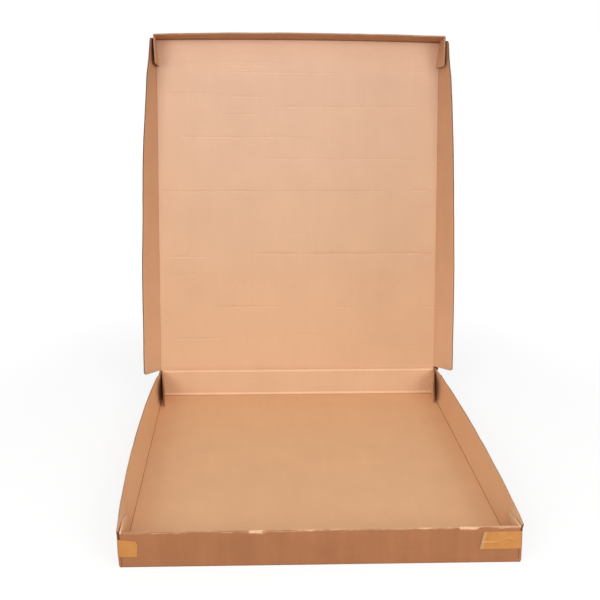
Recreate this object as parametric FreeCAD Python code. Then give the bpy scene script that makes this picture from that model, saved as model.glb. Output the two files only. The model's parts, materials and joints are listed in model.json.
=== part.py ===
import FreeCAD, Part
import math
import os

# A shallow corrugated box for a framed picture: a tray and a hinged lid folded from one die-cut
# blank, with two strips of packing tape round the tray's front corners. Millimetres, +Z up.
# The origin is the centre of the tray's underside, -Y is the front, and the lid is hinged at +Y.
# The lid stands open, leaning back past upright.

# Board
BOARD = 3.0  # thickness of the single-wall corrugated board
TAB_GAP = 0.3  # between a corner tab and the wall it is tucked behind
TAB_LIFT = 0.5  # between a corner tab's edge and the panel it stands over

# Tray, outside sizes
TRAY_WIDTH = 530.0
TRAY_LENGTH = 620.0
TRAY_HEIGHT = 50.0
TRAY_BOW = 3.3  # how far the top of a side wall stands out, half way along
TRAY_STRAIGHT = 60.0  # upright stretch at each end of a side wall, before it bows
TRAY_TAB = 56.0  # length of a corner tab
TRAY_TAB_DROP = 6.0  # how far a corner tab's upper edge falls towards its free end

# Lid
LID_DEPTH = 48.0  # depth of its rims below the panel
LID_SIDE_GAP = 0.6  # closed, from a lid tab to the tray's side wall
LID_FRONT_GAP = 1.5  # closed, from the front rim to the tray's front wall
LID_TOP_GAP = 0.3  # closed, from the panel to the tray's top edges
LID_TAB = 50.0  # length of a corner tab
LID_TAB_DROP = 5.0  # taper of a corner tab's free edge
LID_TAB_SLANT = 3.0  # how far the end of a corner tab is cut back beside the panel
LID_LEAN = 9.8  # degrees past upright, as it stands open
LID_SPLAY_FRONT = 6.0  # degrees that the side rims stand out beside the front rim
LID_SPLAY_HINGE = 33.0  # and at the hinge end
LID_FRONT_SPLAY = 5.5  # degrees that the front rim stands out, half way along
LID_RELIEF = 4.0  # the side rims start this far from the crease

# Hinge crease, where the board is crushed to a thin line
CREASE_GAP = 0.4  # from the fold line to the crushed edge on each side
CREASE_EDGE = 0.3  # thickness of the crushed edge
CREASE_SLOPE = 38.0  # degrees between the board's mid plane and the crushed faces

# Tape
TAPE_WIDTH = 24.0
TAPE_THICKNESS = 0.15
TAPE_LEFT = {"bottom": 15.5, "front": 24.5, "side": 55.0, "slant": 0.0}
TAPE_RIGHT = {"bottom": 18.3, "front": 52.5, "side": 27.0, "slant": 3.5}

TAB_CORNER = 4.0  # radius of a tab's free corners
STATIONS = 9  # cross-sections along a wall whose lean changes

V = FreeCAD.Vector
X_AXIS = V(1, 0, 0)
Y_AXIS = V(0, 1, 0)
Z_AXIS = V(0, 0, 1)
ORIGIN = V(0, 0, 0)

WALL_RISE = TRAY_HEIGHT - BOARD  # of a tray wall above the floor's upper face
TRAY_CORNER = TRAY_WIDTH / 2 - BOARD  # x of the floor's inner corner line
CREASE_RUN = CREASE_GAP + (BOARD - CREASE_EDGE) / 2 / math.tan(math.radians(CREASE_SLOPE))
AXIS_Y = TRAY_LENGTH / 2 - BOARD / 2
AXIS_Z = TRAY_HEIGHT + LID_TOP_GAP + BOARD / 2
LID_CORNER = TRAY_WIDTH / 2 + LID_SIDE_GAP + BOARD + TAB_GAP  # x of the panel's inner corner line
LID_LENGTH = AXIS_Y + TRAY_LENGTH / 2 + LID_FRONT_GAP  # from the fold line to the front rim


def moved(shape, placement):
    """A copy of the shape, moved by a placement."""
    copy = shape.copy()
    copy.Placement = placement.multiply(copy.Placement)
    return copy


def turned(shape, axis, degrees, to=ORIGIN):
    """A copy of the shape, turned about an axis through the origin and then moved."""
    return moved(shape, FreeCAD.Placement(to, FreeCAD.Rotation(axis, degrees)))


def wall_section(y, depth, lean):
    """Section, at y, of a wall folded up from a panel along the line x = 0, z = 0.

    The panel lies at x < 0, below z = 0. The wall leans outwards, to +X, by lean degrees. The fold
    is creased sharp inside, and its outer face is an arc of the board's thickness.
    """
    a = math.radians(lean)
    half_way = math.radians(90 + lean) / 2
    along = V(math.sin(a), 0, math.cos(a))
    out = V(math.cos(a), 0, -math.sin(a))
    mid = V(math.cos(half_way), 0, -math.sin(half_way))
    corner = V(0, y, 0)
    top = corner + along * depth
    outer_top = top + out * BOARD
    outer_foot = corner + out * BOARD
    under = corner - Z_AXIS * BOARD
    return Part.Wire([
        Part.makeLine(corner, top),
        Part.makeLine(top, outer_top),
        Part.makeLine(outer_top, outer_foot),
        Part.Arc(outer_foot, corner + mid * BOARD, under).toShape(),
        Part.makeLine(under, corner),
    ])


def straight_wall(start, end, depth):
    """An upright wall along Y, from start to end."""
    return Part.Face(wall_section(start, depth, 0)).extrude(Y_AXIS * (end - start))


def leaning_wall(start, end, depth, lean_at):
    """A wall along Y, from start to end, whose lean in degrees is lean_at(share of its length)."""
    shares = [i / (STATIONS - 1) for i in range(STATIONS)]
    sections = [wall_section(start + s * (end - start), depth, lean_at(s)) for s in shares]
    return Part.makeLoft(sections, True)


def corner_tab(side_face, wall_face, height, length, drop, slant):
    """The fold at the right-hand end of a wall that stands along X at y > wall_face, and its tab.

    The tab runs back to -Y behind a side wall, with its outer face at x = side_face. Its free edge
    falls by drop towards the end, which is cut back by slant beside the panel.
    """
    inner = side_face - BOARD
    profile = [
        V(inner, wall_face, TAB_LIFT),
        V(inner, wall_face, height),
        V(inner, wall_face - length, height - drop),
        V(inner, wall_face - length + slant, TAB_LIFT),
    ]
    plate = Part.Face(Part.makePolygon(profile + profile[:1])).extrude(X_AXIS * BOARD)
    free = [e for e in plate.Edges if abs(e.tangentAt(e.FirstParameter).x) > 0.9
            and e.CenterOfMass.y < wall_face - length / 2]
    plate = plate.makeFillet(TAB_CORNER, free)
    centre = V(inner, wall_face, TAB_LIFT)
    fold = Part.makeCylinder(BOARD, height - TAB_LIFT, centre, Z_AXIS, 90)
    return plate.fuse(fold)


def both_sides(shape):
    """The shape and its mirror image across the box's middle."""
    return shape.fuse(shape.mirror(ORIGIN, X_AXIS))


def crease_lip(half_width):
    """The crushed edge of a panel along X, which points down to the fold line at z = 0."""
    profile = [
        V(-half_width, -CREASE_EDGE / 2, CREASE_GAP),
        V(-half_width, CREASE_EDGE / 2, CREASE_GAP),
        V(-half_width, BOARD / 2, CREASE_RUN),
        V(-half_width, -BOARD / 2, CREASE_RUN),
    ]
    return Part.Face(Part.makePolygon(profile + profile[:1])).extrude(X_AXIS * 2 * half_width)


def tray():
    """Floor, two bowed side walls, and front and back walls with tabs behind the side walls."""
    middle = TRAY_LENGTH / 2 - TRAY_STRAIGHT
    bow = math.degrees(math.asin(TRAY_BOW / WALL_RISE))
    side = straight_wall(-TRAY_LENGTH / 2, -middle, WALL_RISE)
    side = side.fuse(leaning_wall(-middle, middle, WALL_RISE,
                                  lambda s: bow * math.sin(math.pi * s) ** 2))
    side = side.fuse(straight_wall(middle, TRAY_LENGTH / 2, WALL_RISE))
    side.translate(X_AXIS * TRAY_CORNER)

    floor_end = TRAY_LENGTH / 2 - BOARD
    floor = Part.makeBox(2 * TRAY_CORNER, 2 * floor_end, BOARD, V(-TRAY_CORNER, -floor_end, -BOARD))

    side_face = TRAY_CORNER - TAB_GAP
    flat = side_face - BOARD
    end_wall = turned(straight_wall(-flat, flat, WALL_RISE), Z_AXIS, 90, Y_AXIS * floor_end)
    tabs = both_sides(corner_tab(side_face, floor_end, WALL_RISE, TRAY_TAB, TRAY_TAB_DROP, 0.0))
    back = end_wall.fuse(tabs)
    front = back.mirror(ORIGIN, Y_AXIS)

    crushed = AXIS_Z - CREASE_RUN - BOARD
    above = Part.makeBox(2 * TRAY_WIDTH, 4 * BOARD, TRAY_HEIGHT,
                         V(-TRAY_WIDTH, floor_end - BOARD, crushed))
    lip = turned(crease_lip(flat), X_AXIS, 180, V(0, AXIS_Y, AXIS_Z - BOARD))
    back = back.cut(above).fuse(lip)

    shape = floor.fuse([both_sides(side), front, back]).removeSplitter()
    shape.translate(Z_AXIS * BOARD)
    return shape


def lid():
    """Panel, splayed side rims, and a bowed front rim with tabs tucked behind the side rims."""
    grow = LID_SPLAY_HINGE - LID_SPLAY_FRONT

    def side_lean(share):
        from_front = 1 - share
        return LID_SPLAY_FRONT + grow * math.sin(math.pi / 2 * from_front ** 0.75)

    side = leaning_wall(LID_RELIEF, LID_LENGTH + BOARD, LID_DEPTH, side_lean)
    side.translate(X_AXIS * LID_CORNER)
    side_face = LID_CORNER - TAB_GAP
    flat = side_face - BOARD
    panel = Part.makeBox(2 * LID_CORNER, LID_LENGTH - LID_RELIEF, BOARD,
                         V(-LID_CORNER, LID_RELIEF, -BOARD))
    crease_half = TRAY_CORNER - TAB_GAP - BOARD
    foot = Part.makeBox(2 * crease_half, LID_RELIEF - CREASE_RUN, BOARD,
                        V(-crease_half, CREASE_RUN, -BOARD))
    lip = turned(crease_lip(crease_half), X_AXIS, -90, V(0, 0, -BOARD / 2))
    rim = leaning_wall(-flat, flat, LID_DEPTH, lambda s: LID_FRONT_SPLAY * math.sin(math.pi * s) ** 2)
    rim = turned(rim, Z_AXIS, 90, Y_AXIS * LID_LENGTH)
    tabs = both_sides(corner_tab(side_face, LID_LENGTH, LID_DEPTH, LID_TAB, LID_TAB_DROP,
                                 LID_TAB_SLANT))
    shape = panel.fuse([both_sides(side), foot, lip, rim, tabs]).removeSplitter()
    shape.translate(Z_AXIS * BOARD / 2)
    return turned(shape, X_AXIS, 90 - LID_LEAN, V(0, AXIS_Y, AXIS_Z))


def tape(bottom, front, side, slant):
    """A strip round the tray's right front corner. Its end on the front wall is cut on a slant."""
    corner_x = TRAY_WIDTH / 2
    corner_y = -TRAY_LENGTH / 2
    over = corner_x + TAPE_THICKNESS
    profile = [
        V(corner_x - front, corner_y, 0),
        V(corner_x, corner_y, 0),
        V(corner_x, corner_y + side, 0),
        V(over, corner_y + side, 0),
        V(over, corner_y - TAPE_THICKNESS, 0),
        V(corner_x - front, corner_y - TAPE_THICKNESS, 0),
    ]
    strip = Part.Face(Part.makePolygon(profile + profile[:1])).extrude(Z_AXIS * TAPE_WIDTH)
    if slant:
        end = corner_x - front
        before = corner_y - BOARD
        cut = [V(end, before, 0), V(end, before, TAPE_WIDTH), V(end + slant, before, TAPE_WIDTH)]
        wedge = Part.Face(Part.makePolygon(cut + cut[:1])).extrude(Y_AXIS * 2 * BOARD)
        strip = strip.cut(wedge)
    strip.translate(Z_AXIS * bottom)
    return strip


def write(name, shape):
    """One STEP file for each sub-part."""
    solids = shape.Solids
    print(name, "solids", len(solids), "valid", shape.isValid(), "volume", round(shape.Volume, 1))
    solids[0].exportStep(os.path.join("parts", name + ".step"))


os.makedirs("parts", exist_ok=True)
write("tray", tray())
write("lid", lid())
write("tape_left", tape(**TAPE_LEFT).mirror(ORIGIN, X_AXIS))
write("tape_right", tape(**TAPE_RIGHT))
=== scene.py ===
import json
import math

import bmesh
import bpy
from mathutils import Matrix, Vector, noise


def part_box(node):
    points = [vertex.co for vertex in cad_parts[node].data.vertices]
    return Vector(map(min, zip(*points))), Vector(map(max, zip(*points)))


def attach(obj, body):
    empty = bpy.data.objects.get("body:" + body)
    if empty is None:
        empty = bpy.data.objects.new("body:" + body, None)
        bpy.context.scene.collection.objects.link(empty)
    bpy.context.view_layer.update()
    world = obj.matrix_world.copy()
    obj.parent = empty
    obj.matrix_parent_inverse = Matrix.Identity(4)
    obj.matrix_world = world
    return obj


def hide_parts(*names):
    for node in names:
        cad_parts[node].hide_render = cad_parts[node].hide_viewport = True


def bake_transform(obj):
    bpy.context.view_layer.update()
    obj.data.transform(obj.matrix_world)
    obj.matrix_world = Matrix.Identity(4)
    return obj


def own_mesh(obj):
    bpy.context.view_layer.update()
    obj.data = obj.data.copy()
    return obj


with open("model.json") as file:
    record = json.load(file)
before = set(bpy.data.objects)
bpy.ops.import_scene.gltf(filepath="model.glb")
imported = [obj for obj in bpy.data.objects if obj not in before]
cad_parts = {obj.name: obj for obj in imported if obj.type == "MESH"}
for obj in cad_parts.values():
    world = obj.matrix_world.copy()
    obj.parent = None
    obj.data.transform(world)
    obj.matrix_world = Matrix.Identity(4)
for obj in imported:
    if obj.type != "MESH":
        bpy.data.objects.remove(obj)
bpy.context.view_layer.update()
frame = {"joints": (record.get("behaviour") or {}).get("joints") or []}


# ---------------------------------------------------------------- tray floor
# The middle panel of the blank's lower half: single-wall corrugated board of two kraft liners
# glued to B fluting, die-cut in one piece with the walls. The two long folds start from it.

board = 0.003
liner = 0.0003
flute_pitch = 0.00635
fold_radius = 0.0006
fold_cells = 5
crease_press = 0.0006  # how deep a fold presses the inner liner
tight_corner = 0.85  # how far the outer liner fills out its corner
tape_film = 0.00015
half_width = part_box("tape_right")[1].x - tape_film
half_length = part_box("tray")[1].y
wall_top = 0.050
floor_x = half_width - board
floor_y = half_length - board
hinge = frame["joints"][0]
hinge_y, hinge_z = hinge["pos_m"][1:]
back_lean = math.radians(17)
back_top_y = hinge_y - board / 2 * math.cos(back_lean)
back_top_z = hinge_z + board / 2 * math.sin(back_lean)
back_y = back_top_y - (back_top_z - board) * math.tan(back_lean)
back_set = fold_radius * math.tan(math.pi / 4 - back_lean / 2)
back_end = back_y + board
askew = 0.0052  # how far the foot of the right front corner stands forward
askew_start = 0.19
askew_run = 0.12
sharp_angle = math.radians(40)


def smooth(share):
    """0 to 1, eased at both ends, for a share that may lie outside."""
    share = min(1.0, max(0.0, share))
    return share * share * (3 - 2 * share)


def ripple(x, y, z, size):
    """Smooth unevenness from -1 to 1, with bumps of about the given size."""
    return noise.noise(Vector((x, y, z)) / size)


def fold(turn, total, rise, depth):
    """A point on board that is folded up by total radians along a line, as (outwards, upwards).

    turn is how far round the fold the point lies, rise how far past it, and depth how far behind
    the inner face. The outer liner keeps a tighter corner than an arc.
    """
    corner = 1 / math.cos(min(turn, total - turn)) - 1
    reach = fold_radius + depth + tight_corner * depth * corner
    out = reach * math.sin(turn) + rise * math.cos(turn) - fold_radius
    up = fold_radius - reach * math.cos(turn) + rise * math.sin(turn)
    return out, up


def past_fold(step, cells):
    """How far out on a flap a step lies, as a share of its length. The first cells are its fold."""
    return max(0.0, (step - fold_cells) / (cells - fold_cells))


def folded(step, cells, total, length, depth):
    """The fold and the flap past it, for a step from 0 to cells, as (share, (outwards, upwards))."""
    turn = min(1.0, step / fold_cells) * total
    share = past_fold(step, cells)
    pressed = crease_press * math.sin(math.pi * min(1.0, step / fold_cells)) * (1 - depth / board)
    return share, fold(turn, total, share * length, depth + pressed)


def tray_point(x, y, z):
    """The tray stands a little askew: its front wall leans back towards the right corner."""
    forward = askew * (x / half_width + 1) / 2 * (1 - z / wall_top)
    return Vector((x, y - forward * smooth((-y - askew_start) / askew_run), z))


def join(bm, part):
    """Adds a part's mesh to bm and frees it."""
    mesh = bpy.data.meshes.new("part")
    part.to_mesh(mesh)
    part.free()
    bm.from_mesh(mesh)
    bpy.data.meshes.remove(mesh)


def add_layer(bm, across, along, near, far, place, size, turned=False, cuts=()):
    """A closed layer of paper or board, across by along cells, added to bm.

    place(a, b, depth) puts a point of the unit square in the box's frame. near and far are the
    layer's two depths behind the inner face, as numbers or as functions of a and b. The UV map
    holds the flat size, with the flutes along U. The inner side takes the first material, the
    cut edges the second and the outer side the third. cuts are extra rows, as values of b.
    """
    sheet = bmesh.new()
    uv = sheet.loops.layers.uv.new("blank")
    bmesh.ops.create_grid(sheet, x_segments=across, y_segments=along, size=0.5)
    for b in cuts:
        whole = sheet.verts[:] + sheet.edges[:] + sheet.faces[:]
        bmesh.ops.bisect_plane(sheet, geom=whole, dist=1e-6, plane_co=(0, b - 0.5, 0), plane_no=(0, 1, 0))
    raised = bmesh.ops.extrude_face_region(sheet, geom=sheet.faces[:], use_keep_orig=True)["geom"]
    raised = [item for item in raised if isinstance(item, bmesh.types.BMVert)]
    bmesh.ops.translate(sheet, verts=raised, vec=(0, 0, 1))
    for face in sheet.faces:
        level = sum(v.co.z for v in face.verts) / len(face.verts)
        face.material_index = 0 if level < 0.1 else 2 if level > 0.9 else 1
        for loop in face.loops:
            flat = (loop.vert.co.x * size[0], loop.vert.co.y * size[1])
            loop[uv].uv = (flat[1], flat[0]) if turned else flat
    for v in sheet.verts:
        a, b, far_side = v.co.x + 0.5, v.co.y + 0.5, v.co.z > 0.5
        depth = far if far_side else near
        v.co = place(a, b, depth(a, b) if callable(depth) else depth)
    bmesh.ops.recalc_face_normals(sheet, faces=sheet.faces[:])
    if sheet.calc_volume(signed=True) < 0:
        bmesh.ops.reverse_faces(sheet, faces=sheet.faces[:])
    join(bm, sheet)


def new_piece(name, bm, materials, body):
    """Makes bm an object with its materials, smooth apart from its folds, and rides it on a body."""
    mesh = bpy.data.meshes.new(name)
    bm.to_mesh(mesh)
    bm.free()
    for material in materials:
        mesh.materials.append(material)
    mesh.shade_smooth()
    mesh.set_sharp_from_angle(angle=sharp_angle)
    piece = bpy.data.objects.new(name, mesh)
    bpy.context.scene.collection.objects.link(piece)
    if body:
        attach(piece, body)
    return piece


def feed(node, inputs):
    """Sets a shader node's inputs, each to a value or to the output that feeds it."""
    for socket, value in inputs.items():
        if isinstance(value, bpy.types.NodeSocket):
            node.id_data.links.new(value, node.inputs[socket])
        else:
            node.inputs[socket].default_value = value


def add_node(tree, kind, inputs, **settings):
    """A new shader node with its settings and inputs."""
    node = tree.nodes.new("ShaderNode" + kind)
    for setting, value in settings.items():
        setattr(node, setting, value)
    feed(node, inputs)
    return node


def ramp(tree, value, start, end, low=0.0, high=1.0, **settings):
    """The output of a value that is stretched: it runs from low to high as value does from start to end."""
    inputs = {"Value": value, "From Min": start, "From Max": end, "To Min": low, "To Max": high}
    return add_node(tree, "MapRange", inputs, **settings).outputs["Result"]


def reckon(tree, operation, *values):
    """The output of a sum done on values and other outputs."""
    return add_node(tree, "Math", dict(enumerate(values)), operation=operation).outputs["Value"]


def mixed(tree, share, first, second, blend="MIX"):
    """The output of two colours mixed, the second laid over the first by a share."""
    inputs = {"Factor": share, "A": first, "B": second}
    return add_node(tree, "Mix", inputs, data_type="RGBA", blend_type=blend).outputs["Result"]


def node_group(name, inputs, outputs):
    """An empty shader node group with its sockets, as (group, what it is given, where it ends)."""
    group = bpy.data.node_groups.new(name, "ShaderNodeTree")
    for in_out, sockets in (("INPUT", inputs), ("OUTPUT", outputs)):
        for socket, kind in sockets.items():
            group.interface.new_socket(socket, in_out=in_out, socket_type="NodeSocket" + kind)
    return group, group.nodes.new("NodeGroupInput").outputs, group.nodes.new("NodeGroupOutput")


def new_material(name):
    """A material with nodes, as (material, node tree, shader)."""
    material = bpy.data.materials.new(name)
    material.use_nodes = True
    return material, material.node_tree, material.node_tree.nodes["Principled BSDF"]


def paper_group():
    """The look of kraft paper on fluting, as masks: clouds, streaks, fibres, flutes and height."""
    masks = ("Clouds", "Streaks", "Fibres", "Flutes", "Height")
    group, given, end = node_group("kraft_paper", {"Place": "Vector", "Blank": "Vector"},
                                   {mask: "Float" for mask in masks})

    def patches(source, scale, detail, distortion=0.0):
        stretch = add_node(group, "Mapping", {"Vector": given[source], "Scale": scale})
        texture = add_node(group, "TexNoise", {"Vector": stretch.outputs["Vector"], "Scale": 1,
                                               "Detail": detail, "Distortion": distortion})
        return ramp(group, texture.outputs["Fac"], 0.25, 0.75)

    clouds = patches("Place", (16, 16, 16), 5)
    streaks = patches("Blank", (60, 7, 1), 3, 0.5)
    fibres = patches("Blank", (260, 1400, 1), 3, 0.8)
    parts = add_node(group, "SeparateXYZ", {"Vector": given["Blank"]})
    phase = reckon(group, "MULTIPLY", parts.outputs["Y"], 2 * math.pi / flute_pitch)
    flutes = ramp(group, reckon(group, "SINE", phase), -1, 1)
    height = 0.0
    for mask, share in ((fibres, 0.5), (streaks, 0.8), (flutes, 0.35)):
        height = reckon(group, "MULTIPLY_ADD", mask, share, height)
    feed(end, dict(zip(masks, (clouds, streaks, fibres, flutes, height))))
    return group


kraft_paper = paper_group()


def kraft_material(name, colour, cloud=0.03, streak=0.012, fibre=0.05, flute=0.006, relief=0.5):
    """Kraft paper of a base colour, which each mask shifts up and down by its share."""
    material, tree, shader = new_material(name)
    where = add_node(tree, "TexCoord", {}, name="where")
    blank = add_node(tree, "UVMap", {}, name="blank", uv_map="blank")
    paper = add_node(tree, "Group", {"Place": where.outputs["Object"], "Blank": blank.outputs["UV"]},
                     node_tree=kraft_paper)
    tone = 1.0
    for mask, share in (("Clouds", cloud), ("Streaks", streak), ("Fibres", fibre), ("Flutes", flute)):
        tone = reckon(tree, "MULTIPLY", tone, ramp(tree, paper.outputs[mask], 0, 1, 1 - share, 1 + share))
    bump = add_node(tree, "Bump", {"Strength": relief, "Distance": 0.0001,
                                   "Height": paper.outputs["Height"]})
    feed(shader, {"Roughness": 0.85, "Specular IOR Level": 0.2, "Normal": bump.outputs["Normal"],
                  "Base Color": mixed(tree, 1, (*colour, 1), tone, "MULTIPLY")})
    return material


def fade_group():
    """A tint that changes smoothly between two places, multiplied onto a colour: painted light and shade,
    and slow changes of tone.
    """
    inputs = {"Colour": "Color", "Place": "Float", "Start": "Float", "End": "Float",
              "First Tint": "Color", "Last Tint": "Color"}
    group, given, end = node_group("fade", inputs, {"Colour": "Color"})
    change = ramp(group, given["Place"], given["Start"], given["End"], interpolation_type="SMOOTHSTEP")
    tint = mixed(group, change, given["First Tint"], given["Last Tint"])
    feed(end, {"Colour": mixed(group, 1, given["Colour"], tint, "MULTIPLY")})
    return group


fading = fade_group()


def fade(material, first_tint, last_tint, start, end, axis="Z"):
    """Fades a kraft material from one tint to another between two places along an axis."""
    tree = material.node_tree
    shader = tree.nodes["Principled BSDF"]
    parts = add_node(tree, "SeparateXYZ", {"Vector": tree.nodes["where"].outputs["Object"]})
    faded = add_node(tree, "Group", {
        "Colour": shader.inputs["Base Color"].links[0].from_socket, "Place": parts.outputs[axis],
        "Start": start, "End": end,
        "First Tint": (*first_tint, 1), "Last Tint": (*last_tint, 1)}, node_tree=fading)
    feed(shader, {"Base Color": faded.outputs["Colour"]})


def bare_material(name, colour, cloud=0.1, fibre=0.1, relief=0.5):
    """Bare board at a cut or a fold, where no flutes show through the paper."""
    return kraft_material(name, colour, cloud=cloud, streak=0.03, fibre=fibre, flute=0, relief=relief)


def edge_material(name, colour):
    """The rough edge that the die has cut."""
    return bare_material(name, colour, cloud=0.15, fibre=0.15, relief=1)


inner_liner = kraft_material("inner_liner", (0.82, 0.48, 0.26))
# Painted light: the floor grows lighter towards the front wall, against the shade that the wall casts there.
fade(inner_liner, (1.10, 1.10, 1.13), (1, 1, 1), -half_length, -0.06, axis="Y")
outer_liner = kraft_material("outer_liner", (0.385, 0.157, 0.069), cloud=0.06, streak=0.05)
cut_edge = edge_material("cut_edge", (0.80, 0.50, 0.31))
# A darker liner for the inside of the floor's side folds: painted shade in the fold.
side_fold_painted_shade = kraft_material("side_fold_painted_shade", (0.46, 0.22, 0.10), cloud=0.05, streak=0.03)
board_faces = (inner_liner, cut_edge, outer_liner)
floor_lift = 0.0006
flattened = 0.05
fold_setback = 0.0012


def floor_point(a, b, depth):
    x = (2 * a - 1) * (floor_x - fold_radius)
    y = (1 - b) * (fold_radius - floor_y) + b * (back_y - back_set)
    inside = smooth((floor_x - abs(x)) / flattened) * smooth(min(y + floor_y, back_y - y) / flattened)
    lift = floor_lift * inside * (1 + ripple(x, y, 0, 0.16))
    return tray_point(x, y, board - depth + lift)


def side_fold_point(side):
    def point(a, b, depth):
        share, (out, up) = folded(b * fold_cells, fold_cells + 1, math.pi / 2, 0, depth)
        short = fold_setback * depth / board
        y = (1 - a) * (short - half_length) + a * (back_end - short)
        return tray_point(side * (floor_x + out), y, board + up)
    return point


bm = bmesh.new()
add_layer(bm, 48, 56, 0, board, floor_point, (2 * floor_x, floor_y + back_y))
tray_floor = new_piece("tray_floor", bm, board_faces, "tray")
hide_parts("tray")
bm = bmesh.new()
fold_size = (half_length + back_end, board)
for side in (-1, 1):
    add_layer(bm, 56, fold_cells, 0, board, side_fold_point(side), fold_size, turned=True)
# The folds' inner faces take the darker liner: painted shade.
new_piece("tray_side_folds", bm, (side_fold_painted_shade, outer_liner, outer_liner), "tray")


# ---------------------------------------------------------------- tray side walls
# The long walls, folded up along the floor. They bow outwards between the corners, where the
# tape and the tabs hold them. The flutes run up them, so that their ends show along the top.

# -1 is the left side and 1 the right, which the hands and the tape have bent differently.
side_bow = {-1: 0.0110, 1: 0.0080}
proud_front = {-1: 0.0022, 1: 0.0032}
proud_back = {-1: 0.0029, 1: 0.0050}
back_spread = {-1: 0.0020, 1: 0.0041}
side_held = {-1: 0.0011, 1: 0.0001}
end_proud = {-1: 0.0008, 1: 0.0021}
held_below = 0.026
back_proud = 0.0008
corner_gap = 0.0002
held_run = 0.06
edge_wander = 0.0004
wall_wander = 0.0006
die_pinch = 0.2
tape_side = {-1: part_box("tape_left")[1].y + half_length, 1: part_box("tape_right")[1].y + half_length}
tape_top = {-1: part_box("tape_left")[1].z, 1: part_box("tape_right")[1].z}
wall_foot = board + fold_radius
wall_rise = wall_top - wall_foot
wall_length = half_length + back_end
end_slant = wall_rise * math.tan(back_lean)
front_relief = 0.006


def held_out(side, z):
    """How far the front corner stands outside the fold at a height, where the tape holds it."""
    return side_held[side] * smooth(z / held_below)


def above_tape(side, z):
    """0 at the tape's upper edge and below it, rising to 1 at the top of the wall."""
    return max(0.0, (z - tape_top[side]) / (wall_top - tape_top[side]))


def corner_out(side, towards, z):
    """How far a short wall's end stands outside its fold at a height, in front or at the back."""
    if towards < 0:
        return held_out(side, z) + end_proud[side] * above_tape(side, z)
    return back_proud + back_spread[side] * (z - wall_foot) / wall_rise


def stand_out(side, y, z):
    """How far a side wall stands outside its fold, at a place along it and a height."""
    share = min(1.0, max(0.0, (y + half_length) / wall_length))
    proud = proud_front[side] + (proud_back[side] - proud_front[side]) * share
    top = proud + side_bow[side] * max(0.0, math.sin(math.pi * share)) ** 0.75
    free = smooth((y + half_length - tape_side[side]) / held_run)
    held = held_out(side, z)
    held += (top - held) * above_tape(side, z)
    up = max(0.0, (z - wall_foot) / wall_rise) ** (1 - 0.5 * smooth((share - 0.75) / 0.15))
    out = free * top * up + (1 - free) * held
    return out + (corner_out(side, 1, z) - corner_gap - out) * smooth((share - 0.945) / 0.05)


def crushed(depth, edge):
    """The depth of a point in the board where its cut edge is pinched by the die."""
    return board / 2 + (depth - board / 2) * (1 - die_pinch * edge)


def side_wall_point(side):
    def point(a, b, depth):
        relief = front_relief * smooth((b - 0.7) / 0.3)
        y = a * (wall_length + end_slant * b - relief) - half_length + relief
        z = wall_foot + b * (wall_rise + edge_wander * ripple(0, y, side, 0.03))
        depth = crushed(depth, smooth((b - 0.93) / 0.07))
        wander = wall_wander * b * ripple(side, y, z, 0.05)
        return tray_point(side * (floor_x + depth + stand_out(side, y, z) + wander), y, z)
    return point


def flute_depth(count, offset, along_b=False):
    """The depth of one face of the fluting, waving across the board count times."""
    middle, swing = board / 2 + offset, board / 2 - 1.4 * liner

    def depth(a, b):
        return middle + swing * math.sin(2 * math.pi * count * (b if along_b else a))
    return depth


def part_of(place, low, high, by_b=True):
    """place, kept to the part of the board from low to high along one of its two directions."""
    def point(a, b, depth):
        if by_b:
            return place(a, low + b * (high - low), depth)
        return place(low + a * (high - low), b, depth)
    return point


def stopped(place, end, by_b=True):
    """place, with the last cells drawn in so that they stop at end."""
    def point(a, b, depth):
        return place(a, min(b, end), depth) if by_b else place(min(a, end), b, depth)
    return point


open_depth = 0.0009  # how far the board's middle is open between the liners
flute_strip = 0.0030  # how much of the fluting is there to be seen
fluting = bare_material("fluting", (0.70, 0.41, 0.235))
# Painted shade for board ends that stand in dark gaps.
shaded_end = bare_material("shaded_end", (0.15, 0.068, 0.032))
wall_liner = kraft_material("wall_liner", (0.745, 0.445, 0.247))
flutes_along = round(wall_length / flute_pitch)
side_names = {-1: "left", 1: "right"}
for side in (-1, 1):
    point = side_wall_point(side)
    flat = (wall_length, wall_rise)
    strip = part_of(point, 1 - flute_strip / wall_rise, 1)
    core = stopped(point, 1 - 0.5 * open_depth / wall_rise)
    waves = [flute_depth(flutes_along, offset) for offset in (-liner / 2, liner / 2)]
    layers = (
        # name, place, cells across and along, near and far depth, materials, depth to flatten to
        ("inner_liner", point, 124, 7, 0, liner, (wall_liner, cut_edge, fluting), 0),
        ("outer_liner", point, 124, 7, board - liner, board, (fluting, cut_edge, outer_liner), 0.0021),
        ("middle", core, 124, 7, liner, board - liner, (fluting,) * 3, 0.0012),
        ("fluting", strip, 8 * flutes_along, 1, *waves, (fluting,) * 3, 0.0012),
    )
    for layer_name, place, across, along, near, far, materials, flat_depth in layers:
        bm = bmesh.new()
        add_layer(bm, across, along, near, far, place, flat, turned=True)
        bm.normal_update()
        # Forward-facing end faces take the outer liner below the tape and shaded_end above it: painted shade
        # in the gap beside the front tabs.
        for face in bm.faces:
            if face.normal.y < -0.6:
                face.material_index = 3 if face.calc_center_median().z < tape_top[side] else 4
        materials += (outer_liner, shaded_end)
        wall = new_piece(f"tray_{side_names[side]}_wall_{layer_name}", bm, materials, "tray")
        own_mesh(wall)


# ---------------------------------------------------------------- tray front wall
# The short wall in front, with the flutes lying along it. Its top edge is crushed and scuffed
# where hands have pulled the lid off it, and torn down to pale fibres in two places.

end_flat = floor_x - board
wall_cells = 16
torn = (
    # middle, half length
    (-0.0865, 0.0085),
    (0.193, 0.0105),
)
torn_down = 0.0024
scuff_depth = 0.0022
worn_depth = 0.0012
edge_rise = 0.0005


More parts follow.
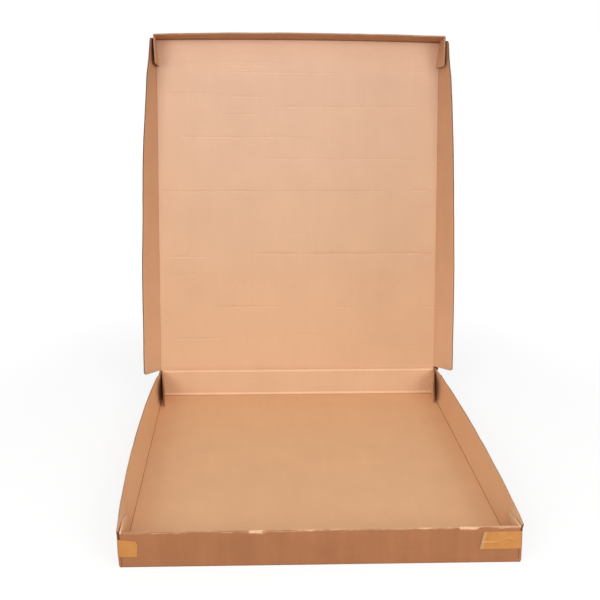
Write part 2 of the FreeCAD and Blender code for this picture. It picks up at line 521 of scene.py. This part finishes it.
def tear(x):
    """How far the outer liner is torn down from the front wall's top edge."""
    scuffs = max(0.0, ripple(x, 0, 8, 0.018) - 0.15) * scuff_depth
    scuffs += max(0.0, ripple(x, 3, 8, 0.05)) * worn_depth
    spots = sum(smooth(4 - 3 * abs(x - middle) / half) for middle, half in torn)
    return scuffs + torn_down * min(1.0, spots)


def front_unevenness(x, share):
    """How far the front wall's face wanders from flat, at a share of its height."""
    free = smooth((end_flat - abs(x)) / 0.05)
    return share * free * (0.0012 * ripple(x, 0, 5, 0.07) + 0.0005 * ripple(x, share / 20, 6, 0.02))


def side_of(x):
    """-1 on the left and 1 on the right."""
    return 1 if x > 0 else -1


def at_ends(along):
    """A place from -1 to 1 along a short wall, drawn in so that it counts only near the ends."""
    return along * abs(along) ** 3


def front_wall_point(a, b, depth):
    along = 2 * a - 1
    in_fold = b * wall_cells < fold_cells + 0.1
    x = along * (end_flat + (board if in_fold else -fold_radius))
    rise = wall_rise + edge_rise * ripple(x, 0, 3, 0.012) + edge_rise * ripple(x, 0, 9, 0.05)
    share = past_fold(b * wall_cells, wall_cells)
    rise -= tear(x) * (depth / board) ** 2 * smooth((share - 0.6) / 0.4)
    share, (out, up) = folded(b * wall_cells, wall_cells, math.pi / 2, rise,
                              crushed(depth, smooth((share - 0.88) / 0.12)))
    wander = front_unevenness(x, share)
    spread = at_ends(along) * corner_out(side_of(x), -1, board + up)
    return tray_point(x + spread, -(floor_y + out + wander), board + up)


def lay_over(material, colour, mask):
    """Lays a colour over a kraft material as far as a mask goes."""
    shader = material.node_tree.nodes["Principled BSDF"]
    under = shader.inputs["Base Color"].links[0].from_socket
    feed(shader, {"Base Color": mixed(material.node_tree, mask, under, (*colour, 1))})


def worn_liner():
    """The outer liner with its top edge rubbed pale in patches."""
    material = kraft_material("worn_liner", (0.385, 0.157, 0.069), cloud=0.08, streak=0.06)
    tree = material.node_tree
    blank = tree.nodes["blank"].outputs["UV"]
    parts = add_node(tree, "SeparateXYZ", {"Vector": blank})
    edge = ramp(tree, parts.outputs["Y"], wall_top / 2 - 0.006, wall_top / 2 - 0.0005)
    stretch = add_node(tree, "Mapping", {"Vector": blank, "Scale": (70, 260, 1)})
    patches = add_node(tree, "TexNoise", {"Vector": stretch.outputs["Vector"], "Scale": 1, "Detail": 4})
    rubbed = ramp(tree, reckon(tree, "ADD", edge, patches.outputs["Fac"]), 1.35, 1.75)
    lay_over(material, (0.64, 0.36, 0.21), rubbed)
    return material


def roll_over(material):
    """Here and there the brown outer liner has been rolled over the outer half of the cut edge."""
    tree = material.node_tree
    parts = add_node(tree, "SeparateXYZ", {"Vector": tree.nodes["where"].outputs["Object"]})
    outer = ramp(tree, parts.outputs["Y"], -floor_y - 0.0008, -floor_y - 0.0016)
    leftward = ramp(tree, parts.outputs["X"], 0.05, -0.12, -0.2, 0.25, clamp=False)
    patches = add_node(tree, "TexNoise", {"W": parts.outputs["X"], "Scale": 45, "Detail": 3},
                       noise_dimensions="1D")
    rolled = ramp(tree, reckon(tree, "ADD", leftward, patches.outputs["Fac"]), 0.42, 0.55)
    lay_over(material, (0.43, 0.19, 0.09), reckon(tree, "MULTIPLY", outer, rolled))


bm = bmesh.new()
fold_row = (fold_cells + 0.15) / wall_cells
add_layer(bm, 210, wall_cells, 0, board, front_wall_point, (2 * end_flat, wall_top), cuts=[fold_row])
handled_edge = edge_material("handled_edge", (0.74, 0.43, 0.25))
roll_over(handled_edge)
torn_fibres = bare_material("torn_fibres", (0.74, 0.46, 0.27), fibre=0.15, relief=1)
for face in bm.faces:
    place = face.calc_center_median()
    if face.material_index == 1 and place.z > 0.9 * wall_top:
        if any(abs(place.x - middle) < half for middle, half in torn):
            face.material_index = 3
faces = (wall_liner, handled_edge, worn_liner(), torn_fibres)
new_piece("tray_front_wall", bm, faces, "tray")


# ---------------------------------------------------------------- tray back wall
# The short wall at the back, which carries the hinge. The open lid has drawn it backwards. Folding
# it has squeezed its inner liner into a bead along its foot, and its top runs on into the hinge.

crease_below = 0.010
crease_above = 0.005
bead_high = 0.0038
bead_proud = 0.0014
back_wander = 0.0007
back_cells = 30
back_total = math.pi / 2 - back_lean
back_rise = (back_top_z - board) / math.cos(back_lean) - crease_below - back_set


def back_wall_point(a, b, depth):
    along = 2 * a - 1
    in_fold = b * back_cells < fold_cells + 0.2
    x = along * (end_flat + (board if in_fold else -fold_radius))
    share, (out, up) = folded(b * back_cells, back_cells, back_total, back_rise, depth)
    bead = math.sin(math.pi * min(1.0, share * back_rise / bead_high)) * (1 - depth / board)
    free = smooth((end_flat - abs(x)) / 0.05)
    wander = share * (1 - share) * 4 * free * back_wander * ripple(x, 0, 5, 0.07)
    proud = bead_proud * bead * (1 + 0.3 * ripple(x, 0, 11, 0.04))
    spread = at_ends(along) * corner_out(side_of(x), 1, max(wall_foot, board + up))
    return tray_point(x + spread, back_y + out + fold_radius - back_set - proud + wander, board + up)


def paint_highlight_band(bm, low, high, index):
    """Gives the inner faces between two heights the material at index: here the lighter liner that paints a
    highlight along a bead.
    """
    for face in bm.faces:
        if face.material_index == 0 and low < face.calc_center_median().z < high:
            face.material_index = index


back_liner = kraft_material("back_liner", (0.635, 0.385, 0.229))
# A lighter liner: painted highlight along the bead at the back wall's foot and the bulge at the hinge.
painted_highlight_liner = kraft_material("painted_highlight_liner", (0.77, 0.49, 0.31), cloud=0.05, streak=0.02)
bm = bmesh.new()
fold_row = (fold_cells + 0.25) / back_cells
add_layer(bm, 90, back_cells, 0, board, back_wall_point, (2 * end_flat, back_rise), cuts=[fold_row])
# The bead takes the lighter liner: a painted highlight along it.
paint_highlight_band(bm, wall_foot + 0.0002, wall_foot + 1.1 * bead_high, 3)
new_piece("tray_back_wall", bm, (back_liner, cut_edge, outer_liner, painted_highlight_liner), "tray")


# ---------------------------------------------------------------- tray corner tabs
# Short flaps on the ends of the front and back walls, folded in behind the side walls. They
# spring inwards at their free ends, and their upper edges are cut on a slant.

tab_lift = 0.0006
tab_ragged = 0.0007
tab_rounding = 0.003
tab_cells = 16
tray_tabs = (
    # side, end, length, drop of the free end's top, its lean inwards in degrees at foot and top
    (-1, -1, 0.070, 0.0105, 0.1, 0.1),
    (1, -1, 0.069, 0.0115, 0.1, 0.1),
    (-1, 1, 0.060, 0.006, 7.5, 9.0),
    (1, 1, 0.054, 0.006, 7.0, 11.5),
)


def tab_pinch(share, b):
    """How far a tab's board is pinched, from 0 to 1, near its three cut edges."""
    return max(smooth((share - 0.92) / 0.08), smooth((abs(b - 0.5) - 0.44) / 0.06))


def tray_tab_point(side, towards, length, drop, at_foot, at_top):
    foot_y, tilt = (floor_y, 0.0) if towards < 0 else (back_y, math.tan(back_lean))

    def point(a, b, depth):
        share = past_fold(a * tab_cells, tab_cells)
        depth = crushed(depth, tab_pinch(share, b))
        total = math.radians(90 + at_foot + (at_top - at_foot) * b)
        share, (out, back) = folded(a * tab_cells, tab_cells, total, length, depth)
        corner = tab_rounding * max(0.0, (share - 0.92) / 0.08) ** 2
        low = wall_foot + tab_lift + corner
        high = wall_top - drop * share ** 1.5 - tab_ragged * (1 + ripple(out, back, side, 0.008)) - corner
        z = low + b * (high - low)
        y = towards * (foot_y - back + tilt * (z - board))
        proud = corner_out(side, towards, z)
        if towards < 0:
            proud += (stand_out(side, y, z) - proud + corner_gap) * smooth(share / 0.75)
        x = side * (end_flat + out + proud)
        return tray_point(x, y, z)
    return point


def add_flap(bm, place, flat, across, along, by_b=False):
    """A flap of board with its fluting showing at the free end, at a = 1, or at b = 1 with by_b.

    The fluting takes the fourth material and its cut edges the second.
    """
    width, free = flat if by_b else (flat[1], flat[0])
    count = round(width / flute_pitch)
    add_layer(bm, across, along, 0, liner, place, flat, turned=by_b)
    add_layer(bm, across, along, board - liner, board, place, flat, turned=by_b)
    filling = bmesh.new()
    core = stopped(place, 1 - open_depth / free, by_b)
    add_layer(filling, across, along, liner, board - liner, core, flat, turned=by_b)
    strip = part_of(place, 1 - flute_strip / free, 1, by_b)
    waves = [flute_depth(count, offset, not by_b) for offset in (-liner / 2, liner / 2)]
    cells = (8 * count, 1) if by_b else (1, 8 * count)
    add_layer(filling, *cells, *waves, strip, flat, turned=by_b)
    for face in filling.faces:
        face.material_index = 1 if face.material_index == 1 else 3
    join(bm, filling)


tab_edge = bare_material("tab_edge", (0.42, 0.22, 0.12), cloud=0.15)
pale_edge = bare_material("pale_edge", (0.90, 0.58, 0.37))
for side, towards, length, *cut_and_leans in tray_tabs:
    bm = bmesh.new()
    point = tray_tab_point(side, towards, length, *cut_and_leans)
    add_flap(bm, point, (length, wall_rise), tab_cells, 8)
    if towards < 0:
        end_name, faces = "front", (wall_liner, pale_edge, outer_liner, fluting)
    else:
        end_name, faces = "back", (wall_liner, tab_edge, outer_liner, tab_edge)
    new_piece(f"tray_{end_name}_{side_names[side]}_tab", bm, faces, "tray")


# ---------------------------------------------------------------- lid panel
# The top of the box, standing open and leaning back a little. It is the upper half of the same
# blank. Handling has pressed shallow creases into it, all along the flutes.

lean = math.radians(hinge["range_deg"][1] - 90)
up_panel = Vector((0, math.sin(lean), math.cos(lean)))
out_panel = Vector((0, -math.cos(lean), math.sin(lean)))
crease_line = Vector((0, hinge_y, hinge_z))
lid_length = half_length + hinge_y + 0.0025
lid_corner = half_width + 0.0004
tab_corner = half_width + 0.0006
far_arch = 0.0030
tabs_push = 0.0032
panel_wave = 0.0009
panel_creases = (
    # height up the panel, from x, to x, depth
    (0.6018, -0.125, -0.060, 0.0005),
    (0.5808, -0.245, -0.011, 0.0008),
    (0.5738, -0.133, -0.040, 0.0006),
    (0.5618, -0.125, 0.069, 0.0007),
    (0.5648, 0.188, 0.248, 0.0006),
    (0.5218, -0.244, -0.149, 0.0009),
    (0.5168, -0.123, -0.061, 0.0007),
    (0.4988, -0.042, 0.216, 0.0009),
    (0.4848, -0.149, -0.080, 0.0008),
    (0.4418, -0.228, 0.007, 0.0009),
    (0.4018, -0.065, 0.246, 0.0006),
    (0.3408, -0.256, -0.171, 0.0008),
    (0.3411, -0.150, -0.071, 0.0008),
    (0.3414, -0.048, 0.164, 0.0008),
    (0.3422, 0.216, 0.247, 0.0008),
    (0.2598, -0.006, 0.015, 0.0006),
    (0.2218, -0.085, 0.261, 0.0011),
    (0.2158, -0.248, -0.165, 0.0006),
    (0.1818, -0.249, -0.193, 0.0007),
    (0.1198, -0.152, -0.041, 0.0008),
    (0.1188, 0.064, 0.106, 0.0006),
    (0.1186, 0.237, 0.262, 0.0006),
    (0.0658, -0.006, 0.035, 0.0006),
    (0.0588, -0.233, -0.151, 0.0005),
)
crease_width = 0.0020


def lid_point(x, s, d):
    """A point of the lid: across, up the panel from the hinge line, and out of its inner face."""
    return crease_line + Vector((x, 0, 0)) + up_panel * s + out_panel * (board / 2 + d)


def corner_x(s):
    """Half the panel's width. The tabs push the side rims out beside the front rim."""
    return lid_corner + tabs_push * smooth((s - lid_length + 0.065) / 0.05)


def arch(x):
    """How far the panel's far fold is arched outwards at a place along it."""
    return far_arch * max(0.0, math.cos(math.pi / 2 * x / tab_corner)) ** 0.8


def panel_relief(x, s):
    """How far the panel's faces are pressed back, in the creases and by slow waves."""
    pressed = 0.0
    for height, start, end, deep in panel_creases:
        away = abs(s - height + 0.0007 * ripple(x, height, 0, 0.03)) / crease_width
        if away < 1:
            ease = smooth((x - start) / 0.02 + 0.5) * smooth((end - x) / 0.02 + 0.5)
            broken = 1.1 + 0.8 * ripple(x, height, 5, 0.022)
            pressed = max(pressed, deep * ease * broken * (1 - away))
    calm = smooth((corner_x(s) - abs(x)) / 0.04) * smooth(s / 0.06) * smooth((lid_length - s) / 0.06)
    return pressed + panel_wave * calm * ripple(x, s, 2, 0.18)


def panel_point(a, b, depth):
    s = crease_above + b * (lid_length - fold_radius - crease_above)
    x = (2 * a - 1) * (corner_x(s) - fold_radius)
    return lid_point(x, s + arch(x) * smooth((b - 0.94) / 0.06), -depth - panel_relief(x, s))


lid_liner = kraft_material("lid_liner", (0.68, 0.415, 0.257))
# A lighter copy of lid_liner for the faces just below each crease: a painted highlight on the groove's lower
# slope.
painted_crease_highlight = kraft_material("painted_crease_highlight", (0.71, 0.437, 0.274))
lid_high = hinge_z + lid_length
for paper in (lid_liner, painted_crease_highlight):
    # Paler towards the top; part of the lightening there is painted light.
    fade(paper, (0.98, 0.97, 0.93), (1.06, 1.12, 1.25), hinge_z, lid_high)
    # Painted light: the top 10 cm lighter, against the front rim's shade.
    fade(paper, (1, 1, 1), (1.10, 1.10, 1.11), lid_high - 0.10, lid_high)
    # Painted shade: darker towards the right edge.
    fade(paper, (1, 1, 1), (0.945, 0.93, 0.91), 0, 0.18, axis="X")
fold_shade = bare_material("fold_shade", (0.30, 0.14, 0.07))
lid_edge = edge_material("lid_edge", (0.44, 0.25, 0.145))
lid_faces = (lid_liner, lid_edge, outer_liner, painted_crease_highlight, fold_shade)
shade_depth = 0.0019
rows = lid_length - fold_radius - crease_above
cuts = sorted({(height + k * crease_width / 2 - crease_above) / rows
               for height, *_ in panel_creases for k in (-2, -1, 0, 1, 2)} | {1 - shade_depth / rows})
bm = bmesh.new()
add_layer(bm, 80, 60, 0, board, panel_point, (2 * lid_corner, lid_length), cuts=cuts)
for face in bm.faces:
    if face.material_index:
        continue
    place = face.calc_center_median()
    raised = (place - crease_line).dot(up_panel)
    below = [start < place.x < end and 0 < height - raised < crease_width
             for height, start, end, _ in panel_creases]
    # Just below a crease: the lighter copy, a painted highlight; the top rows: fold_shade, painted shade
    # along the fold.
    if any(below) and ripple(place.x, 7, place.z, 0.03) > -0.15:
        face.material_index = 3
    elif raised > lid_length - fold_radius - shade_depth:
        face.material_index = 4
lid_panel = new_piece("lid_panel", bm, lid_faces, "lid")
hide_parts("lid")


# ---------------------------------------------------------------- lid side rims
# The long rims, folded forward from the panel. Nothing holds them but the front rim's tabs, so
# they splay further out towards the hinge. Their cut edges show the ends of the flutes.

lid_depth = 0.048
splay_front = 6
splay_hinge = 33
splay_top = {-1: 0.8, 1: 3.3}
rim_start = {-1: -0.002, 1: 0.0012}
rim_slant_start = -0.0025
rim_slant_end = -0.0075
rim_cells = 14


def side_splay(side, s):
    """How far a side rim leans out from square to the panel, in degrees."""
    share = min(1.0, max(0.0, 1 - s / lid_length))
    open_splay = splay_front + (splay_hinge - splay_front) * math.sin(math.pi / 2 * share ** 0.75)
    open_splay += 1.6 * smooth((s - 0.05) / 0.1) * smooth((0.55 - s) / 0.15)
    held = smooth((lid_length - s) / 0.075)
    return splay_top[side] * (1 - held) + open_splay * held


def side_rim_point(side):
    def point(a, b, depth):
        share = past_fold(b * rim_cells, rim_cells)
        low = rim_start[side] + rim_slant_start * share
        high = lid_length + board / 2 + rim_slant_end * share
        rounding = 0.004 * max(0.0, (share - 0.9) / 0.1) ** 2
        s = low + rounding + a * (high - low - 2 * rounding)
        splay = side_splay(side, s) + 1.2 * ripple(0, s, side, 0.12)
        ends = smooth(1 - min(a, 1 - a) * lid_length / 0.004)
        depth = crushed(depth, max(ends, smooth((share - 0.93) / 0.07)))
        length = lid_depth + 0.0005 * ripple(side, s, 4, 0.03)
        share, (out, forward) = folded(b * rim_cells, rim_cells, math.radians(90 - splay), length, depth)
        return lid_point(side * (corner_x(s) + out), s, forward)
    return point


rim_colour = (0.65, 0.361, 0.203)
rim_liner = kraft_material("rim_liner", rim_colour, cloud=0.04, streak=0.02)
# The side rims' inner liner, with painted shade near the top where the tabs stand in front of it.
rim_painted_shade = kraft_material("rim_painted_shade", rim_colour, cloud=0.04, streak=0.02)
for paper in (rim_liner, rim_painted_shade):
    fade(paper, (1.07, 1.16, 1.22), (1, 1, 1), hinge_z, hinge_z + 0.3)
rim_shade_from = lid_high - 0.055
# Painted shade: darker near the top of the rims, beside the tabs.
fade(rim_painted_shade, (1, 1, 1), (0.95, 0.82, 0.74), rim_shade_from, rim_shade_from + 0.020)
rim_edge = edge_material("rim_edge", (0.34, 0.19, 0.11))
rim_fluting = bare_material("rim_fluting", (0.30, 0.165, 0.095))
rim_faces = (rim_painted_shade, rim_edge, outer_liner, rim_fluting)
for side in (-1, 1):
    bm = bmesh.new()
    add_flap(bm, side_rim_point(side), (lid_length + board, lid_depth), 124, rim_cells, by_b=True)
    new_piece(f"lid_{side_names[side]}_rim", bm, rim_faces, "lid")


# ---------------------------------------------------------------- lid front rim and its tabs
# The short rim at the lid's free end, bowed outwards between two tapered tabs, which are tucked
# inside the side rims. The flutes lie along it, so its edge is ragged.

corner_drawn = {-1: 0.0018, 1: 0.0004}
end_droop = 2.0
corner_dropped = {-1: lid_depth * math.sin(math.radians(end_droop)), 1: 0.0}
lid_tab_length = 0.050
lid_tab_taper = 0.005
lid_tab_rounding = 0.0025
lid_tab_slant = {-1: -0.0004, 1: 0.0015}
lid_tab_leans = {-1: (6.5, 2.5), 1: (7.5, 0.5)}


def front_rim_point(a, b, depth):
    in_fold = b * rim_cells < fold_cells + 0.1
    x = (2 * a - 1) * (corner_x(lid_length) + fold_radius if in_fold else tab_corner - fold_radius)
    bow = 0.5 * ripple(x, 5, 5, 0.05) - end_droop * max(0.0, -x / tab_corner) ** 2
    length = lid_depth + 0.0008 * ripple(x, 1, 7, 0.02) + 0.0005 * ripple(x, 4, 7, 0.006)
    share = past_fold(b * rim_cells, rim_cells)
    depth = crushed(depth, smooth((share - 0.92) / 0.08))
    along = x / tab_corner
    x -= at_ends(along) * corner_drawn[side_of(x)] * share
    share, (out, forward) = folded(b * rim_cells, rim_cells, math.radians(90 - bow), length, depth)
    return lid_point(x, lid_length + arch(x) + out, forward)


def lid_tab_point(side):
    at_foot, at_edge = lid_tab_leans[side]

    def point(a, b, depth):
        share = past_fold(a * tab_cells, tab_cells)
        total = math.radians(90 + at_foot + (at_edge - at_foot) * b)
        depth = crushed(depth, tab_pinch(share, b))
        length = lid_tab_length - lid_tab_slant[side] * (1 - b)
        share, (out, back) = folded(a * tab_cells, tab_cells, total, length, depth)
        corner = lid_tab_rounding * max(0.0, (share - 0.93) / 0.07) ** 2
        low = 0.0008 + corner
        high = lid_depth - 0.0005 - lid_tab_taper * share - corner
        x = tab_corner - corner_drawn[side] * b + out
        drop = corner_dropped[side] * b * (1 - share)
        return lid_point(side * x, lid_length - back - drop, low + b * (high - low))
    return point


bm = bmesh.new()
fold_row = (fold_cells + 0.15) / rim_cells
add_layer(bm, 150, rim_cells, 0, board, front_rim_point, (2 * tab_corner, lid_depth), cuts=[fold_row])
# The front rim's inner face looks down: its darker liner is painted shade.
front_rim_painted_shade = kraft_material("front_rim_painted_shade", (0.56, 0.31, 0.175), cloud=0.04, streak=0.02)
new_piece("lid_front_rim", bm, (front_rim_painted_shade, lid_edge, outer_liner), "lid")
tab_faces = (rim_liner, lid_edge, outer_liner, lid_edge)
for side in (-1, 1):
    bm = bmesh.new()
    add_flap(bm, lid_tab_point(side), (lid_tab_length, lid_depth), tab_cells, 8)
    tab = new_piece(f"lid_{side_names[side]}_tab", bm, tab_faces, "lid")
    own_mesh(tab)


# ---------------------------------------------------------------- hinge crease
# The strip of the blank where the back wall turns into the lid. Two score lines are pressed into
# it, a few millimetres apart, and it is bent from the back wall's slant to the open lid's.

score_lines = (
    # place from the hinge line, half width, depth
    (-0.0019, 0.0013, 0.0010),
    (0.0046, 0.0013, 0.0003),
)
bulge_low = -0.0076
bulge_high = -0.0028
bulge_proud = 0.0011
shoulder = -0.0062
slot_scraps = (
    # side, width, lowest and highest edge from the hinge line, material
    (-1, 0.0030, -0.0060, -0.0022, 0),
    # Material 4 is shaded_end: this scrap is painted shade.
    (1, 0.0095, -0.0060, 0.0022, 4),
)
crease_length = crease_below + crease_above


def crease_point(x, run, depth):
    """A point of the strip: across, up from the hinge line, and behind the inner face."""
    share = smooth((run + crease_above) / (2 * crease_above))
    angle = lean if run > 0 else back_lean
    along = Vector((0, math.sin(angle), math.cos(angle)))
    mean = back_lean + (lean - back_lean) * share
    inward = Vector((0, -math.cos(mean), math.sin(mean)))
    return crease_line + Vector((x, 0, 0)) + along * run + inward * (board / 2 - depth)


def hinge_point(a, b, depth):
    run = b * crease_length - crease_below
    along_x = 2 * a - 1
    height = hinge_z + run * math.cos(back_lean)
    narrow = end_flat - fold_radius + abs(along_x) ** 3 * corner_out(side_of(along_x), 1, height)
    wide = lid_corner - fold_radius
    x = along_x * (narrow + (wide - narrow) * smooth((run - shoulder) / 0.0005 + 1))
    wander = 0.0003 * ripple(x, 4, 0, 0.03)
    relief = 0.0
    for line, half, deep in score_lines:
        relief += deep * (0.85 + 0.3 * ripple(x, 6, 0, 0.02)) * max(0.0, 1 - abs(run + wander - line) / half)
    bulge = (run - bulge_low) / (bulge_high - bulge_low)
    if 0 < bulge < 1:
        relief -= bulge_proud * (0.85 + 0.3 * ripple(x, 9, 0, 0.04)) * math.sin(math.pi * bulge)
    return crease_point(x, run, depth + relief * (1 - depth / board))


def scrap_point(side, width, low, high):
    """A scrap of board in the slot beside the hinge line. On the left it is crushed board that the die has
    left; on the right it is a dark sheet of painted shade.
    """
    def point(a, b, depth):
        run = low + b * (high - low) * (1 - 0.25 * a)
        return crease_point(side * (lid_corner - 0.001 + a * width), run, depth)
    return point


score_rows = [(line + k * half / 2 + crease_below) / crease_length
              for line, half, _ in score_lines for k in (-2, -1, 0, 1, 2)]
shoulder_rows = [(shoulder + step + crease_below) / crease_length for step in (-0.0005, 0.0)]
score_rows = [row for row in score_rows + shoulder_rows if 0 < row < 1]
bm = bmesh.new()
add_layer(bm, 90, 15, 0, board, hinge_point, (2 * end_flat, crease_length), cuts=score_rows)
# The bulge takes the lighter liner: a painted highlight along it.
paint_highlight_band(bm, hinge_z + 0.95 * bulge_low + 0.0008, hinge_z + 0.95 * bulge_high + 0.0002, 3)
for side, width, low, high, index in slot_scraps:
    scrap = bmesh.new()
    add_layer(scrap, 3, 4, 0.0004, board, scrap_point(side, width, low, high), (width, high - low))
    for face in scrap.faces:
        face.material_index = index
    join(bm, scrap)
strip_faces = (back_liner, cut_edge, outer_liner, painted_highlight_liner, shaded_end)
hinge_strip = new_piece("hinge_crease", bm, strip_faces, None)
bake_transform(hinge_strip)


# ---------------------------------------------------------------- corner tape
# Two strips of packing tape, tan film pressed round the front corners by hand. They hold the
# side walls to the front wall. One has a wrinkle and a folded end, the other a turned corner.

film = 0.00012
tape_bend = 0.0022
tape_looks = {
    # slant of the end, turned upper corner, wrinkle height
    -1: (-0.0018, 0.0036, 0.0),
    1: (0.0046, 0.0, 0.0006),
}
tape_raise = {-1: 0.0017, 1: 0.0016}
tape_longer = {-1: 0.0, 1: 0.0042}
lifted_end = 0.0042
wrinkle_width = 0.0012


def tape_point(side, low, high, front, run_side):
    slant, turned, wrinkle = tape_looks[side]

    def point(a, b, depth):
        z = low + b * (high - low)
        if side < 0:
            z -= 0.0012 * (1 - a) + b * (0.0022 * smooth(1 - a / 0.3) - 0.0007)
        start = -front + slant * b + turned * max(0.0, (b - 0.82) / 0.18)
        run = start + a * (run_side - start)
        proud = film + 0.0002 * (1 + ripple(run, z, side, 0.006)) + depth
        crest = low + 0.0090 + 0.0054 * smooth((run + 0.034) / 0.016) - 0.004 * smooth((run + 0.018) / 0.008)
        proud += wrinkle * max(0.0, 1 - abs(z - crest) / wrinkle_width) * smooth((-0.010 - run) / 0.006)
        proud += 0.0006 * smooth(1 - (run - start) / 0.004) * (wrinkle > 0)
        corner = half_width + held_out(side, z)
        if run < -tape_bend:
            x = side * (corner + run)
            proud += front_unevenness(x, (z - wall_foot) / wall_rise)
            return tray_point(x, -half_length - proud, z)
        if run < tape_bend:
            turn = (run + tape_bend) / (2 * tape_bend) * math.pi / 2
            x = corner - tape_bend + (tape_bend + proud) * math.sin(turn)
            return tray_point(side * x, -half_length + tape_bend - (tape_bend + proud) * math.cos(turn), z)
        y = -half_length + run
        return tray_point(side * (half_width + stand_out(side, y, z) + proud), y, z)
    return point


def tape_material(name, clear, cloudy):
    """Tan packing film: satin, warm and a little cloudy where it has not stuck."""
    material, tree, shader = new_material(name)
    where = add_node(tree, "TexCoord", {})
    clouds = add_node(tree, "TexNoise", {"Vector": where.outputs["Object"], "Scale": 70, "Detail": 3})
    shade = mixed(tree, clouds.outputs["Fac"], (*clear, 1), (*cloudy, 1))
    feed(shader, {"Roughness": 0.4, "Specular IOR Level": 0.4, "Base Color": shade})
    return material


tape_look = tape_material("tape_film", (0.515, 0.205, 0.047), (0.625, 0.283, 0.083))
lifted_look = tape_material("lifted_tape", (0.54, 0.27, 0.116), (0.61, 0.325, 0.157))
for side, node in ((-1, "tape_left"), (1, "tape_right")):
    low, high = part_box(node)
    front = high.x - low.x - tape_film + tape_longer[side]
    run_side = high.y + half_length
    bm = bmesh.new()
    point = tape_point(side, low.z + tape_raise[side], high.z + tape_raise[side], front, run_side)
    add_layer(bm, 120, 36, 0, film, point, (front + run_side, high.z - low.z))
    uv = bm.loops.layers.uv["blank"]
    for face in bm.faces:
        along = face.loops[0][uv].uv.x + (front + run_side) / 2
        if side > 0 and along < lifted_end:
            face.material_index = 3
    strip = new_piece(node + "_strip", bm, (tape_look,) * 3 + (lifted_look,), "tray")
    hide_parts(node)


# ---------------------------------------------------------------- floor, light and camera
# A plain pale floor under soft studio light, white in the distance. The camera stands in front of
# the tray, a little to the left, and looks down into it.

bm = bmesh.new()
bmesh.ops.create_grid(bm, x_segments=1, y_segments=1, size=12)
floor_mesh = bpy.data.meshes.new("studio_floor")
bm.to_mesh(floor_mesh)
bm.free()
studio_floor = bpy.data.objects.new("studio_floor", floor_mesh)
bpy.context.scene.collection.objects.link(studio_floor)
white = (1, 1, 1, 1)
floor_grey = (0.25, 0.25, 0.25, 1)
material, tree, shader = new_material("studio_floor")
where = add_node(tree, "TexCoord", {})
away = add_node(tree, "VectorMath", {0: where.outputs["Object"]}, operation="LENGTH")
glow = ramp(tree, away.outputs["Value"], 0.5, 1.6, 0.795, interpolation_type="SMOOTHSTEP")
rays = add_node(tree, "LightPath", {})
seen = reckon(tree, "MULTIPLY", rays.outputs["Is Camera Ray"], glow)
feed(shader, {"Base Color": floor_grey, "Roughness": 1, "Specular IOR Level": 0,
              "Emission Color": white, "Emission Strength": seen})
studio_floor.data.materials.append(material)

world = bpy.data.worlds.new("studio")
bpy.context.scene.world = world
world.use_nodes = True
rays = add_node(world.node_tree, "LightPath", {})
strength = ramp(world.node_tree, rays.outputs["Is Camera Ray"], 0, 1, 0.45, 1)
feed(world.node_tree.nodes["Background"], {"Color": white, "Strength": strength})


def soft_lamp(name, place, target, size, power):
    """A square softbox that faces a target."""
    lamp = bpy.data.lights.new(name, "AREA")
    lamp.size = size
    lamp.energy = power
    lamp_object = bpy.data.objects.new(name, lamp)
    bpy.context.scene.collection.objects.link(lamp_object)
    lamp_object.location = place
    lamp_object.rotation_euler = (Vector(target) - Vector(place)).to_track_quat("-Z", "Y").to_euler()


for side, name, power in ((-1, "left", 1.02), (1, "right", 0.96)):
    soft_lamp(f"{name}_front_softbox", (side * 1.1, -2.8, 1.1), (0, 0, 0.3), 1.4, 14 * power)
    soft_lamp(f"{name}_softbox", (side * 1.7, -2.5, 1.2), (0, 0, 0.3), 1.4, 31 * power)
soft_lamp("overhead", (0, -1.6, 2.6), (0, 0, 0), 1.6, 6.5)

camera = bpy.data.cameras.new("camera")
camera.lens = 55.97
camera.sensor_width = 36
camera_object = bpy.data.objects.new("camera", camera)
bpy.context.scene.collection.objects.link(camera_object)
bpy.context.scene.camera = camera_object
yaw, pitch, roll = math.radians(3.183), math.radians(15.619), math.radians(0.6254)
forward = Vector((math.sin(yaw) * math.cos(pitch), math.cos(yaw) * math.cos(pitch), -math.sin(pitch)))
right = Vector((math.cos(yaw), -math.sin(yaw), 0))
up = right.cross(forward)
camera_right = right * math.cos(roll) + up * math.sin(roll)
camera_up = up * math.cos(roll) - right * math.sin(roll)
turned_camera = Matrix((camera_right, camera_up, -forward)).transposed().to_4x4()
camera_object.matrix_world = Matrix.Translation((-0.0932, -1.398, 0.6665)) @ turned_camera

view = bpy.context.scene.view_settings
view.view_transform = "Standard"
